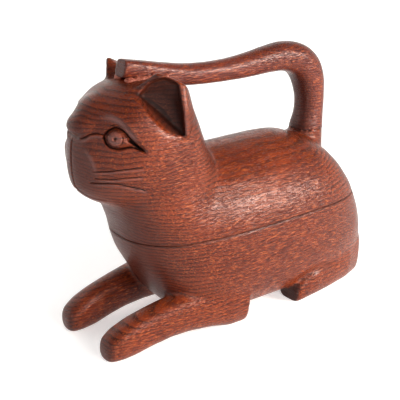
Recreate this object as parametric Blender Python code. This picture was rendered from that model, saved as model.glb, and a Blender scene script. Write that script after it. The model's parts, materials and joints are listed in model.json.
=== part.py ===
"""A carved wooden box in the form of a crouching cat. Its back and head are the lid, its tail the handle.

The cat faces -Y and stands on z = 0. All dimensions are in millimetres until a mesh is made, in metres.
"""

import math

import bmesh
import bpy
import numpy as np
from mathutils import Matrix, Vector

MM = 0.001

# Driving dimensions
SEAM_HEIGHT = 62.0  # the level at which the block was sawn into base and lid
TOUCH_GAP = 0.3  # left between pieces that touch
BODY_MIDDLE = 10.0  # y where the body's front and rear curves meet
GRID = 1.5  # size of the grid that the masses of the form are fused on
EAR_GRID = 1.2  # size of the finer grid that the thin ears are fused on
FORM_TRIANGLES = 8200  # of the whole carved form, before it is sawn and hollowed

TAIL_JOINT_HEIGHT = 100.5
REAR_DOWEL = {"y": 69.5, "radius": 3.0, "low": 88.0, "high": 113.0}
FRONT_DOWEL = {"y": -59.0, "radius": 2.0, "low": 139.0, "high": 155.0}
PEG_RADIUS = 2.0
PEG_LOW = 53.0
PEG_HIGH = 68.0
PEGS = {"peg_front": -63.5, "peg_rear": 82.5}  # y of each locating peg
HOLE_CLEARANCE = 0.3

# The body as level outlines: height, half width, front y, rear y
BODY = [
    (-1.5, 25.0, 62.0, 96.5),
    (7.0, 30.0, 44.0, 99.5),
    (9.0, 30.0, -40.0, 100.5),
    (12.0, 33.0, -45.0, 101.5),
    (20.0, 37.5, -52.0, 102.5),
    (30.0, 40.0, -58.5, 102.0),
    (40.0, 41.2, -64.5, 100.0),
    (50.0, 41.4, -70.0, 96.8),
    (62.0, 40.9, -74.0, 91.5),
    (70.0, 39.4, -74.5, 87.5),
    (80.0, 35.8, -70.0, 81.0),
    (90.0, 29.5, -60.0, 72.0),
    (97.0, 21.8, -48.0, 62.0),
    (102.0, 13.0, -36.0, 50.0),
    (104.6, 5.0, -20.0, 38.0),
]
FRONT_ROUNDNESS = 2.65  # exponent of the outline: 2 is an ellipse, more is squarer
REAR_ROUNDNESS = 4.0

# The neck and the back of the skull as level outlines: height, half width, front y, back y
NECK = [
    (58.0, 36.0, -72.0, 2.0),
    (70.0, 36.5, -75.5, -2.0),
    (80.0, 34.5, -79.5, -7.0),
    (90.0, 33.0, -84.0, -11.0),
    (100.0, 32.5, -87.0, -15.5),
    (110.0, 33.0, -88.0, -21.0),
    (120.0, 33.0, -88.0, -26.0),
    (130.0, 32.0, -87.0, -30.5),
    (138.0, 29.5, -84.0, -33.5),
    (144.0, 25.0, -80.0, -37.0),
    (148.5, 18.0, -74.0, -42.0),
    (151.0, 9.0, -67.0, -50.0),
]
NECK_ROUNDNESS = 2.2
NECK_MIDDLE = -50.0

# The face as level outlines: height, half width, front y, exponent of the front
FACE = [
    (85.0, 20.0, -84.0, 2.0),
    (88.0, 25.0, -90.5, 1.95),
    (92.0, 28.5, -96.0, 1.9),
    (97.0, 31.2, -100.0, 1.85),
    (104.0, 33.0, -101.4, 1.8),
    (110.0, 33.6, -101.6, 1.8),
    (116.0, 33.8, -101.6, 1.8),
    (121.0, 33.6, -101.0, 1.8),
    (126.0, 33.2, -99.5, 1.85),
    (131.0, 32.4, -97.0, 1.9),
    (135.0, 31.2, -94.2, 1.95),
    (139.0, 29.5, -90.8, 2.0),
    (143.0, 26.6, -87.0, 2.0),
    (146.5, 22.6, -82.4, 2.0),
    (149.5, 16.8, -76.4, 2.0),
    (151.5, 8.0, -69.0, 2.0),
]
FACE_WIDEST = -60.0  # y at which the face is widest
FACE_REAR = -40.0
# Centre and radii of the nose and of the ridge above it
NOSE = ((0.0, -87.0, 130.5), (13.0, 15.4, 8.6))
BRIDGE = ((0.0, -79.0, 136.0), (15.0, 17.0, 11.0))

# Fore limb: y, centre x, half width, lowest z, highest z
ARM = [
    (-99.0, 19.8, 4.5, 0.5, 9.0),
    (-96.5, 19.8, 7.5, -1.5, 13.0),
    (-90.0, 20.0, 8.8, -1.9, 17.0),
    (-81.0, 20.6, 8.8, -1.5, 20.8),
    (-70.0, 21.4, 8.9, 0.8, 23.3),
    (-58.0, 22.3, 9.1, 2.4, 25.5),
    (-45.0, 23.5, 9.4, 2.6, 27.5),
    (-30.0, 25.2, 9.8, 1.0, 29.5),
    (-18.0, 26.8, 9.8, -1.5, 31.0),
    (-6.0, 27.6, 9.6, -1.5, 32.0),
]
ARM_ROUNDNESS = 2.5
RIGHT_ARM_SHIFT = 1.8  # how much higher and further out the right fore limb was left
# Hind foot and haunch, in the same way
HAUNCH = [
    (32.5, 28.3, 8.2, -1.5, 9.0),
    (36.0, 28.4, 9.4, -1.5, 14.0),
    (50.0, 27.0, 11.0, -1.5, 24.0),
    (66.0, 24.8, 11.8, -1.5, 30.0),
    (82.0, 22.2, 12.0, -1.5, 33.0),
    (96.0, 18.0, 11.5, -1.5, 34.0),
    (100.0, 16.0, 9.5, -1.5, 32.0),
]
HAUNCH_ROUNDNESS = 3.0

# Ear: corners of the solid leaf, each a small ball
EAR_CORNERS = [
    ((13.0, -69.0, 147.5), 1.4),
    ((23.8, -61.8, 157.4), 1.2),
    ((27.0, -55.6, 154.8), 1.0),
    ((31.2, -51.0, 151.5), 1.4),
    ((34.6, -51.8, 139.7), 1.4),
    ((33.4, -50.4, 125.6), 1.6),
    ((26.0, -46.0, 147.0), 2.2),
    ((29.5, -45.0, 134.0), 2.6),
    ((12.0, -50.0, 142.0), 3.0),
    ((20.0, -44.0, 126.0), 3.0),
]
# Corners of the hollow cut into the leaf: its deep crease, its face, its rim and its short slope to the head
EAR_CREASE = [
    (15.5, -66.2, 145.7),
    (20.3, -60.8, 141.5),
    (23.0, -57.7, 138.3),
    (25.7, -55.3, 133.6),
    (28.6, -53.0, 128.9),
    (31.6, -51.3, 125.5),
]
EAR_FACE = [(21.3, -58.0, 146.5), (25.4, -53.5, 141.4)]
EAR_RIM = [(31.6, -52.6, 138.9), (27.8, -52.6, 151.4), (24.3, -57.7, 154.3), (20.2, -62.7, 152.3)]
EAR_SLOPE = [
    (18.5, -71.0, 144.6),
    (24.6, -67.9, 141.2),
    (27.4, -65.2, 137.2),
    (29.8, -62.6, 133.4),
    (32.0, -58.8, 128.6),
]
EAR_OPENING = (11.8, -9.1, 5.9)  # from the rim out of the hollow, past the leaf

# Stub that the tail stands on: height, radius, y
STUB = [(80.0, 15.0, 64.0), (90.0, 12.6, 67.0), (96.0, 11.0, 69.0), (102.0, 10.6, 69.5)]

# Tail from its front end to the joint on the stub: y, z, radius
TAIL = [
    (-67.5, 157.0, 5.5),
    (-58.0, 154.7, 5.7),
    (-44.0, 151.4, 6.0),
    (-27.0, 148.3, 6.1),
    (-11.0, 147.0, 6.2),
    (5.0, 146.8, 6.5),
    (20.0, 147.5, 7.2),
    (34.0, 148.8, 8.0),
    (47.0, 149.0, 8.9),
    (58.0, 146.0, 9.8),
    (65.5, 139.5, 10.2),
    (69.5, 131.0, 9.8),
    (71.4, 120.0, 9.0),
    (71.1, 110.0, 9.1),
    (69.5, TAIL_JOINT_HEIGHT + TOUCH_GAP, 10.3),
]
TAIL_ROUNDNESS = 2.3  # of its section at the rump
TAIL_SQUARING = 1.2  # added to that at the crown

# The hollow: height, half width, front y, rear y
BOX_HOLLOW = [
    (16.0, 24.0, -34.0, 66.0),
    (20.0, 28.0, -42.0, 72.0),
    (45.0, 31.0, -52.0, 75.0),
    (SEAM_HEIGHT + 5.0, 31.0, -54.0, 75.0),
]
LID_HOLLOW = [
    (SEAM_HEIGHT - 5.0, 31.0, -54.0, 75.0),
    (SEAM_HEIGHT + 4.0, 30.5, -53.0, 73.0),
    (74.0, 28.0, -48.0, 68.0),
    (83.0, 23.0, -40.0, 60.0),
    (87.0, 17.0, -32.0, 52.0),
]


def clear_scene():
    for leftover in list(bpy.data.objects):
        bpy.data.objects.remove(leftover, do_unlink=True)


def wood(name, colour, roughness):
    """A Principled material of one wood."""
    material = bpy.data.materials.new(name)
    material.use_nodes = True
    surface = material.node_tree.nodes["Principled BSDF"]
    surface.inputs["Base Color"].default_value = (*colour, 1.0)
    surface.inputs["Roughness"].default_value = roughness
    surface.inputs["Metallic"].default_value = 0.0
    return material


def new_object(name, shape):
    """An object from a bmesh in millimetres."""
    bmesh.ops.scale(shape, vec=(MM, MM, MM), verts=shape.verts)
    bmesh.ops.recalc_face_normals(shape, faces=shape.faces)
    mesh = bpy.data.meshes.new(name)
    shape.to_mesh(mesh)
    shape.free()
    made = bpy.data.objects.new(name, mesh)
    bpy.context.scene.collection.objects.link(made)
    return made


def rings_to_object(name, rings):
    """A closed body from a list of rings with the same number of points."""
    shape = bmesh.new()
    made = [[shape.verts.new(point) for point in ring] for ring in rings]
    for low, high in zip(made, made[1:]):
        for i in range(len(low)):
            j = (i + 1) % len(low)
            shape.faces.new((low[i], low[j], high[j], high[i]))
    shape.faces.new(made[0])
    shape.faces.new(made[-1])
    return new_object(name, shape)


def rounded(angle, exponent):
    """The point of a unit superellipse at this angle."""
    across = math.cos(angle)
    up = math.sin(angle)
    return (
        math.copysign(abs(across) ** (2 / exponent), across),
        math.copysign(abs(up) ** (2 / exponent), up),
    )


def level_ring(height, half_width, front, widest, rear, front_roundness, rear_roundness, count):
    """One level outline, widest at the given y."""
    ring = []
    for step in range(count):
        angle = 2 * math.pi * step / count
        ahead = math.sin(angle) < 0
        x, y = rounded(angle, front_roundness if ahead else rear_roundness)
        reach = widest - front if ahead else rear - widest
        ring.append((half_width * x, widest + reach * y, height))
    return ring


def level_outlines(name, levels, front_roundness, rear_roundness, middle, count=64):
    """A body from level outlines (height, half width, front y, rear y)."""
    rings = []
    for height, half_width, front, rear in levels:
        widest = min(max(middle, front + half_width), rear - 0.5 * half_width)
        ring = level_ring(height, half_width, front, widest, rear, front_roundness, rear_roundness, count)
        rings.append(ring)
    return rings_to_object(name, rings)


def face_form(count=64):
    """The face, whose front is more pointed than an ellipse."""
    rings = []
    for height, half_width, front, roundness in FACE:
        rings.append(level_ring(height, half_width, front, FACE_WIDEST, FACE_REAR, roundness, 2.0, count))
    return rings_to_object("face", rings)


def limb(name, stations, roundness, side, count=32):
    """A limb along Y from upright sections (y, centre x, half width, lowest z, highest z)."""
    rings = []
    for y, centre, half_width, low, high in stations:
        middle = (low + high) / 2
        ring = []
        for step in range(count):
            across, up = rounded(2 * math.pi * step / count, roundness)
            ring.append((side * (centre + half_width * across), y, middle + (high - low) / 2 * up))
        rings.append(ring)
    return rings_to_object(name, rings)


def smooth_path(points, steps):
    """Points along a smooth curve through these ones, as a Catmull-Rom spline."""
    points = np.array(points, float)
    padded = np.vstack([2 * points[0] - points[1], points, 2 * points[-1] - points[-2]])
    found = []
    for a, b, c, d in zip(padded, padded[1:], padded[2:], padded[3:]):
        for step in range(steps):
            t = step / steps
            found.append(
                b
                + 0.5 * (c - a) * t
                + (a - 2.5 * b + 2 * c - 0.5 * d) * t**2
                + 0.5 * (3 * b - a - 3 * c + d) * t**3
            )
    found.append(points[-1])
    return np.array(found)


def tail_form(name, extra=0.0, steps=2, count=24):
    """The tail, swept along its curve in the plane x = 0. extra makes it thicker all round."""
    path = smooth_path(TAIL, steps)
    direction = np.gradient(path[:, :2], axis=0)
    direction /= np.linalg.norm(direction, axis=1)[:, None]
    direction[-1] = (0.0, -1.0)
    if extra:
        path[0, :2] -= direction[0] * extra
    rings = []
    for (y, z, radius), (along_y, along_z) in zip(path, direction):
        ring = []
        toward_crown = min(max((-y - 20.0) / 40.0, 0.0), 1.0)
        for step in range(count):
            across, up = rounded(2 * math.pi * step / count, TAIL_ROUNDNESS + TAIL_SQUARING * toward_crown)
            out = (radius + extra) * up
            ring.append(((radius + extra) * across, y - out * along_z, z + out * along_y))
        rings.append(ring)
    return rings_to_object(name, rings)


def ball(name, centre, radii):
    """An ellipsoid."""
    shape = bmesh.new()
    bmesh.ops.create_uvsphere(shape, u_segments=32, v_segments=20, radius=1.0)
    place = Matrix.Translation(centre) @ Matrix.Diagonal((*radii, 1.0))
    bmesh.ops.transform(shape, matrix=place, verts=shape.verts)
    return new_object(name, shape)


def rod(name, x, y, low, high, radius, count=24):
    """An upright round rod."""
    shape = bmesh.new()
    place = Matrix.Translation((x, y, (low + high) / 2))
    bmesh.ops.create_cone(
        shape,
        cap_ends=True,
        segments=count,
        radius1=radius,
        radius2=radius,
        depth=high - low,
        matrix=place,
    )
    return new_object(name, shape)


def block(name, low, high):
    """A box between two corners."""
    shape = bmesh.new()
    size = Vector(high) - Vector(low)
    place = Matrix.Translation((Vector(high) + Vector(low)) / 2) @ Matrix.Diagonal((*size, 1.0))
    bmesh.ops.create_cube(shape, size=1.0, matrix=place)
    return new_object(name, shape)


def joined(name, pieces):
    """One object from several, with their meshes side by side."""
    shape = bmesh.new()
    for piece in pieces:
        shape.from_mesh(piece.data)
        bpy.data.objects.remove(piece, do_unlink=True)
    mesh = bpy.data.meshes.new(name)
    shape.to_mesh(mesh)
    shape.free()
    made = bpy.data.objects.new(name, mesh)
    bpy.context.scene.collection.objects.link(made)
    return made


def modified(piece, kind, **settings):
    """The piece with one modifier applied to its mesh."""
    modifier = piece.modifiers.new(kind.lower(), kind)
    for key, value in settings.items():
        setattr(modifier, key, value)
    graph = bpy.context.evaluated_depsgraph_get()
    mesh = bpy.data.meshes.new_from_object(piece.evaluated_get(graph))
    piece.modifiers.clear()
    piece.data = mesh
    return piece


def fused(name, pieces, rounds, grid=GRID):
    """The pieces as one body on the fusing grid, its joins softened by rounds of smoothing."""
    made = joined(name, pieces)
    modified(made, "REMESH", mode="VOXEL", voxel_size=grid * MM, adaptivity=0.0)
    return modified(made, "SMOOTH", factor=0.5, iterations=rounds)


def cut(piece, *cutters, operation="DIFFERENCE"):
    """The piece with each cutter taken away, and the cutters removed."""
    for cutter in cutters:
        cutter.hide_render = True
        cutter.display_type = "WIRE"
        modified(piece, "BOOLEAN", operation=operation, solver="EXACT", object=cutter)
        bpy.data.objects.remove(cutter, do_unlink=True)
    return piece


def hull_of_balls(name, balls, side):
    """The skin stretched over small balls, mirrored for side -1."""
    balls_shape = bmesh.new()
    for centre, radius in balls:
        place = Matrix.Translation((side * centre[0], centre[1], centre[2]))
        bmesh.ops.create_icosphere(balls_shape, subdivisions=2, radius=radius, matrix=place)
    shape = bmesh.new()
    for vertex in balls_shape.verts:
        shape.verts.new(vertex.co)
    balls_shape.free()
    bmesh.ops.convex_hull(shape, input=shape.verts)
    inner = [vertex for vertex in shape.verts if not vertex.link_faces]
    bmesh.ops.delete(shape, geom=inner, context="VERTS")
    return new_object(name, shape)


def ear_hollow(side):
    """The cutter for one ear's hollow."""
    opening = Vector(EAR_OPENING)
    balls = [(place, 0.8) for place in EAR_CREASE + EAR_RIM + EAR_SLOPE]
    balls += [(place, 1.5) for place in EAR_FACE]
    balls += [(tuple(Vector(place) + opening), 0.8) for place in EAR_RIM + EAR_SLOPE + EAR_CREASE[-1:]]
    return hull_of_balls("ear_hollow", balls, side)


def stub_form():
    """The raised seat of the tail on the rump."""
    rings = []
    for height, radius, y in STUB:
        turns = [2 * math.pi * step / 32 for step in range(32)]
        rings.append([(radius * math.cos(a), y + radius * math.sin(a), height) for a in turns])
    return rings_to_object("stub", rings)


def carved_form():
    """The whole cat without its tail, as one block before it is sawn."""
    masses = [
        level_outlines("body", BODY, FRONT_ROUNDNESS, REAR_ROUNDNESS, BODY_MIDDLE),
        level_outlines("neck", NECK, NECK_ROUNDNESS, NECK_ROUNDNESS, NECK_MIDDLE),
        face_form(),
        ball("nose", *NOSE),
        ball("bridge", *BRIDGE),
    ]
    limbs = [fused("trunk", masses, 22), stub_form()]
    for side in (1, -1):
        shift = RIGHT_ARM_SHIFT if side < 0 else 0.0
        arm = [
            (y - shift / 2, x + shift, half, low + shift / 2, high + shift) for y, x, half, low, high in ARM
        ]
        limbs.append(limb("arm", arm, ARM_ROUNDNESS, side))
        limbs.append(limb("haunch", HAUNCH, HAUNCH_ROUNDNESS, side))
    ears = [hull_of_balls("ear_leaf", EAR_CORNERS, side) for side in (1, -1)]
    form = fused("form", [fused("limbs", limbs, 4)] + ears, 1, EAR_GRID)
    count = sum(len(face.vertices) - 2 for face in form.data.polygons)
    modified(form, "DECIMATE", decimate_type="COLLAPSE", ratio=FORM_TRIANGLES / count)
    return cut(form, ear_hollow(1), ear_hollow(-1))


def copy_of(piece, name):
    made = bpy.data.objects.new(name, piece.data.copy())
    bpy.context.scene.collection.objects.link(made)
    return made


def peg_hole(y):
    return rod("peg_hole", 0.0, y, PEG_LOW - 1.0, PEG_HIGH + 1.0, PEG_RADIUS + HOLE_CLEARANCE)


def dowel_hole(dowel):
    return rod(
        "dowel_hole",
        0.0,
        dowel["y"],
        dowel["low"] - 0.5,
        dowel["high"] + 0.5,
        dowel["radius"] + HOLE_CLEARANCE,
    )


def hollow(name, levels):
    return level_outlines(name, levels, 2.6, 3.0, BODY_MIDDLE, count=40)


def make_base(form):
    base = copy_of(form, "base")
    saw = SEAM_HEIGHT - TOUCH_GAP / 2
    cut(base, block("lower_half", (-60, -130, 0.0), (60, 130, saw)), operation="INTERSECT")
    return cut(base, hollow("box_hollow", BOX_HOLLOW), *[peg_hole(y) for y in PEGS.values()])


def make_lid(form):
    lid = copy_of(form, "lid")
    saw = SEAM_HEIGHT + TOUCH_GAP / 2
    cut(lid, block("upper_half", (-60, -130, saw), (60, 130, 200.0)), operation="INTERSECT")
    cut(lid, hollow("lid_hollow", LID_HOLLOW), *[peg_hole(y) for y in PEGS.values()])
    cut(lid, block("stub_top", (-20, 55, TAIL_JOINT_HEIGHT), (20, 90, 130.0)))
    cut(lid, tail_form("tail_seat", extra=TOUCH_GAP))
    return cut(lid, dowel_hole(REAR_DOWEL), dowel_hole(FRONT_DOWEL))


def finish(piece, material):
    """Gives a piece its material and smooth shading with sharp edges kept."""
    piece.data.materials.clear()
    piece.data.materials.append(material)
    piece.data.shade_smooth()
    piece.data.set_sharp_from_angle(angle=math.radians(40))


def main():
    clear_scene()
    body_wood = wood("oiled red hardwood", (0.25, 0.075, 0.045), 0.42)
    pin_wood = wood("pale dowel wood", (0.55, 0.36, 0.19), 0.6)
    form = carved_form()
    pieces = [make_base(form), make_lid(form)]
    tail = cut(tail_form("tail_handle"), dowel_hole(REAR_DOWEL), dowel_hole(FRONT_DOWEL))
    pieces.append(tail)
    for piece in pieces:
        finish(piece, body_wood)
    bpy.data.objects.remove(form, do_unlink=True)
    pins = [
        rod(name, 0.0, dowel["y"], dowel["low"], dowel["high"], dowel["radius"])
        for name, dowel in (("tail_rear_dowel", REAR_DOWEL), ("tail_front_dowel", FRONT_DOWEL))
    ]
    pins += [rod(name, 0.0, y, PEG_LOW, PEG_HIGH, PEG_RADIUS) for name, y in PEGS.items()]
    for pin in pins:
        finish(pin, pin_wood)


main()
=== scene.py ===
# %% [markdown]
# # A carved wooden cat box
#
# The object is a box that was carved from one block of reddish hardwood in the form of a crouching cat.
# The block was sawn level into a base and a lid, and a carved tail was glued on as the handle.
# This lesson loads the box's plain working model as a fixed frame, then carves a finer cat in the same
# place: first the big masses, then the limbs and ears, then the knife work on the face, and last the wood.

# %% Load the frame
import json
import math

import bmesh
import bpy
import numpy as np
from mathutils import Matrix, Vector, noise

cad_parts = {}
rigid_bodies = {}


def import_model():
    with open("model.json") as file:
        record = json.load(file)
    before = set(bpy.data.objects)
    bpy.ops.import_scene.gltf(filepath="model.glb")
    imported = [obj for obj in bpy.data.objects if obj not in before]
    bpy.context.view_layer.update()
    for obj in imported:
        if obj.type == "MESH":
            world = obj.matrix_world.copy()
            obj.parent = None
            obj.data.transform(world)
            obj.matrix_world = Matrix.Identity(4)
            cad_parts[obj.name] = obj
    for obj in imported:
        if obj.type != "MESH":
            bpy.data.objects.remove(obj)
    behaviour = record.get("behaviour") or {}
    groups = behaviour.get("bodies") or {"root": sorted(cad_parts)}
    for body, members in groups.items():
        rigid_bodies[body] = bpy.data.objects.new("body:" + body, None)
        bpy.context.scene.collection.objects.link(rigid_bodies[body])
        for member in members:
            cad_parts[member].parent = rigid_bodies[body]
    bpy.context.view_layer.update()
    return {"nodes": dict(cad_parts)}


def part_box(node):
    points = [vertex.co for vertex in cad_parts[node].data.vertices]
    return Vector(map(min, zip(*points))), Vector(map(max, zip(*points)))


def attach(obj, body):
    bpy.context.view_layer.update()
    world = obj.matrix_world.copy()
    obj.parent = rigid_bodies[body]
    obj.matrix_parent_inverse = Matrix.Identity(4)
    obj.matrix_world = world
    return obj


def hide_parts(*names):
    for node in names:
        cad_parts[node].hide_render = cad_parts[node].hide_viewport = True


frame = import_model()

MM = 0.001  # every shape below is in millimetres, as a carver measures, until its mesh is made
print("pieces in the frame:", ", ".join(sorted(frame["nodes"])))

# %% [markdown]
# ## Where the parts of the box lie
#
# The cat faces -Y and stands on z = 0. The places that the carving has to share with the frame come from
# the frame's own boxes: the height of the saw cut, and the joint between the tail and the rump.

# %% Heights shared with the frame
def top_of(node):
    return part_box(node)[1].z / MM


def bottom_of(node):
    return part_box(node)[0].z / MM


SEAM_TOP = bottom_of("lid")
SEAM_BOTTOM = top_of("base")
SEAM = (SEAM_TOP + SEAM_BOTTOM) / 2
TOUCH_GAP = SEAM_TOP - SEAM_BOTTOM
TAIL_FOOT = round(bottom_of("tail_handle"), 1)  # the tail's flat end on its stub
STUB_TOP = TAIL_FOOT - TOUCH_GAP
print(f"saw cut at {SEAM:.2f} mm, {TOUCH_GAP:.2f} mm wide")


# %% [markdown]
# ## Tools of the bench
#
# Each mass of the cat is a closed skin over a row of rings, which Blender calls a loft. Masses are fused
# by laying a fine grid through them (the Remesh modifier in voxel mode) and then smoothing, much as a
# carver rasps one mass into the next. A few small functions do that here, so that each later cell can
# hold the cat's own measures only.

# %% Make a mesh object
def in_scene(name, data):
    """A new object in the scene, with this mesh, lamp or camera."""
    made = bpy.data.objects.new(name, data)
    bpy.context.scene.collection.objects.link(made)
    return made


def as_object(name, shape):
    """An object from a bmesh, which is used up."""
    mesh = bpy.data.meshes.new(name)
    shape.to_mesh(mesh)
    shape.free()
    return in_scene(name, mesh)


def new_piece(name, shape):
    """An object from a bmesh in millimetres."""
    bmesh.ops.scale(shape, vec=(MM, MM, MM), verts=shape.verts)
    bmesh.ops.recalc_face_normals(shape, faces=shape.faces)
    return as_object(name, shape)


def loft(name, rings):
    """A closed skin over a row of rings that all have the same number of points."""
    shape = bmesh.new()
    made = [[shape.verts.new(point) for point in ring] for ring in rings]
    for low, high in zip(made, made[1:]):
        for i in range(len(low)):
            j = (i + 1) % len(low)
            shape.faces.new((low[i], low[j], high[j], high[i]))
    shape.faces.new(made[0])
    shape.faces.new(made[-1])
    return new_piece(name, shape)


# %% Round off a section
def rounded(angle, power):
    """A point of a unit superellipse: power 2 is a circle, and more is squarer."""
    across = math.cos(angle)
    up = math.sin(angle)
    return (
        math.copysign(abs(across) ** (2 / power), across),
        math.copysign(abs(up) ** (2 / power), up),
    )


def stack(name, levels, count=96):
    """A mass from level outlines: height, half width, front y, widest y, rear y, front and rear power."""
    rings = []
    for height, half_width, front, widest, rear, front_power, rear_power in levels:
        ring = []
        for step in range(count):
            angle = 2 * math.pi * step / count
            ahead = math.sin(angle) < 0
            x, y = rounded(angle, front_power if ahead else rear_power)
            reach = widest - front if ahead else rear - widest
            ring.append((half_width * x, widest + reach * y, height))
        rings.append(ring)
    return loft(name, rings)


def limb(name, stations, power, side, count=48):
    """A limb along Y from upright sections: y, centre x, half width, lowest z, highest z."""
    rings = []
    for y, centre, half_width, low, high in stations:
        ring = []
        for step in range(count):
            across, up = rounded(2 * math.pi * step / count, power)
            ring.append((side * (centre + half_width * across), y, (low + high) / 2 + (high - low) / 2 * up))
        rings.append(ring)
    return loft(name, rings)


# %% Turned and sawn shapes
def ball(name, centre, radii):
    """An ellipsoid."""
    shape = bmesh.new()
    bmesh.ops.create_uvsphere(shape, u_segments=48, v_segments=32, radius=1.0)
    place = Matrix.Translation(centre) @ Matrix.Diagonal((*radii, 1.0))
    bmesh.ops.transform(shape, matrix=place, verts=shape.verts)
    return new_piece(name, shape)


def rod(name, y, low, high, radius):
    """An upright round rod on the middle plane."""
    shape = bmesh.new()
    bmesh.ops.create_cone(
        shape,
        cap_ends=True,
        segments=48,
        radius1=radius,
        radius2=radius,
        depth=high - low,
        matrix=Matrix.Translation((0.0, y, (low + high) / 2)),
    )
    return new_piece(name, shape)


def block(name, low, high):
    """A box between two corners."""
    shape = bmesh.new()
    size = Vector(high) - Vector(low)
    place = Matrix.Translation((Vector(high) + Vector(low)) / 2) @ Matrix.Diagonal((*size, 1.0))
    bmesh.ops.create_cube(shape, size=1.0, matrix=place)
    return new_piece(name, shape)


# %% Fuse, smooth and cut
def modified(piece, kind, **settings):
    """The piece with one modifier applied to its mesh."""
    modifier = piece.modifiers.new(kind.lower(), kind)
    for key, value in settings.items():
        setattr(modifier, key, value)
    graph = bpy.context.evaluated_depsgraph_get()
    mesh = bpy.data.meshes.new_from_object(piece.evaluated_get(graph))
    piece.modifiers.clear()
    piece.data = mesh
    return piece


def joined(name, pieces):
    """One object from several, with their meshes side by side."""
    shape = bmesh.new()
    for piece in pieces:
        shape.from_mesh(piece.data)
        bpy.data.objects.remove(piece, do_unlink=True)
    return as_object(name, shape)


def fused(name, pieces, grid, rounds):
    """The pieces as one skin on a grid of this size, softened by rounds of smoothing."""
    made = joined(name, pieces)
    modified(made, "REMESH", mode="VOXEL", voxel_size=grid * MM, adaptivity=0.0)
    return modified(made, "SMOOTH", factor=0.5, iterations=rounds)


def cut(piece, *cutters, operation="DIFFERENCE"):
    """The piece with each cutter taken away, and the cutters removed."""
    for cutter in cutters:
        modified(piece, "BOOLEAN", operation=operation, solver="MANIFOLD", object=cutter)
        bpy.data.objects.remove(cutter, do_unlink=True)
    return piece


# %% [markdown]
# ## Body and head
#
# The cat is one rounded block with a big upright head. The body's outlines are taken level, every few
# millimetres up: squarer at the rump, rounder at the chest. The head is a second stack, whose outline is
# more pointed in front (a power under 2), so that cheeks and muzzle flow into each other in one sweep.

# %% Body
BODY = [  # height, half width, front y, rear y
    (-1.5, 25.0, 62.0, 96.5),
    (7.0, 30.0, 44.0, 99.5),
    (9.0, 30.0, -40.0, 100.5),
    (12.0, 33.0, -45.0, 101.5),
    (20.0, 37.5, -52.0, 102.5),
    (30.0, 40.0, -58.5, 102.0),
    (40.0, 41.2, -64.5, 100.0),
    (50.0, 41.4, -70.0, 96.8),
    (62.0, 40.9, -74.0, 91.5),
    (70.0, 39.4, -74.5, 87.5),
    (80.0, 35.8, -70.0, 81.0),
    (90.0, 29.5, -60.0, 72.0),
    (97.0, 21.8, -48.0, 62.0),
    (102.0, 13.0, -36.0, 50.0),
    (104.6, 5.0, -20.0, 38.0),
]
BODY_WIDEST = 10.0


def outlined(name, outlines, middle, front_power, rear_power):
    """A stack whose outlines are widest at y = middle, or as near to it as their ends leave room."""
    levels = []
    for height, half_width, front, rear in outlines:
        widest = min(max(middle, front + half_width), rear - half_width / 2)
        levels.append((height, half_width, front, widest, rear, front_power, rear_power))
    return stack(name, levels)


body = outlined("body", BODY, BODY_WIDEST, 2.65, 4.0)
print(f"body: {len(BODY)} outlines, {2 * max(outline[1] for outline in BODY):.0f} mm wide")

# %% Neck and back of the head
NECK = [  # height, half width, front y, rear y
    (58.0, 36.0, -72.0, 2.0),
    (70.0, 36.5, -75.5, -2.0),
    (80.0, 34.5, -79.5, -7.0),
    (90.0, 33.0, -84.0, -11.0),
    (100.0, 32.5, -87.0, -15.5),
    (110.0, 33.0, -88.0, -21.0),
    (120.0, 33.0, -88.0, -26.0),
    (130.0, 32.0, -87.0, -30.5),
    (138.0, 29.5, -84.0, -33.5),
    (144.0, 25.0, -80.0, -37.0),
    (148.5, 18.0, -74.0, -42.0),
    (151.0, 9.0, -67.0, -50.0),
]
NECK_WIDEST = -50.0
neck = outlined("neck", NECK, NECK_WIDEST, 2.2, 2.2)
print(f"neck: {len(NECK)} outlines, up to {NECK[-1][0]:.0f} mm")

# %% Face
FACE = [  # height, half width, front y, power of the front
    (85.0, 20.0, -84.0, 2.0),
    (88.0, 25.0, -90.5, 1.95),
    (92.0, 28.5, -96.0, 1.9),
    (97.0, 31.2, -100.0, 1.85),
    (104.0, 33.0, -101.4, 1.8),
    (110.0, 33.6, -101.6, 1.8),
    (116.0, 33.8, -101.6, 1.8),
    (121.0, 33.6, -101.0, 1.8),
    (126.0, 33.2, -99.5, 1.85),
    (131.0, 32.4, -97.0, 1.9),
    (135.0, 31.2, -94.2, 1.95),
    (139.0, 29.5, -90.8, 2.0),
    (143.0, 26.6, -87.0, 2.0),
    (146.5, 22.6, -82.4, 2.0),
    (149.5, 16.8, -76.4, 2.0),
    (151.5, 8.0, -69.0, 2.0),
]
FACE_WIDEST = -60.0
FACE_REAR = -40.0
face = stack("face", [(z, w, front, FACE_WIDEST, FACE_REAR, power, 2.0) for z, w, front, power in FACE])
nose = ball("nose", (0.0, -87.0, 130.5), (13.0, 15.4, 8.6))
bridge = ball("bridge", (0.0, -79.0, 136.0), (15.0, 17.0, 11.0))
print(f"face: {len(FACE)} outlines, from {FACE[0][0]:.0f} to {FACE[-1][0]:.0f} mm up")

# %% Fuse the trunk
FUSE_GRID = 1.0
SOFTENED = 50  # rounds of smoothing, so that head and body flow into each other
trunk = fused("trunk", [body, neck, face, nose, bridge], FUSE_GRID, rounds=SOFTENED)
print(f"trunk: {len(trunk.data.polygons)} faces on a {FUSE_GRID} mm grid")

# %% [markdown]
# ## Limbs and ears
#
# The fore limbs lie out in front of the chest and end in blunt paws, and behind each one the elbow is
# left as a square block. The haunches end in low hind feet. The right fore limb was left a little higher
# and further out than the left one. Each ear is a leaf with a hollow face, which looks out to the side.

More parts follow.
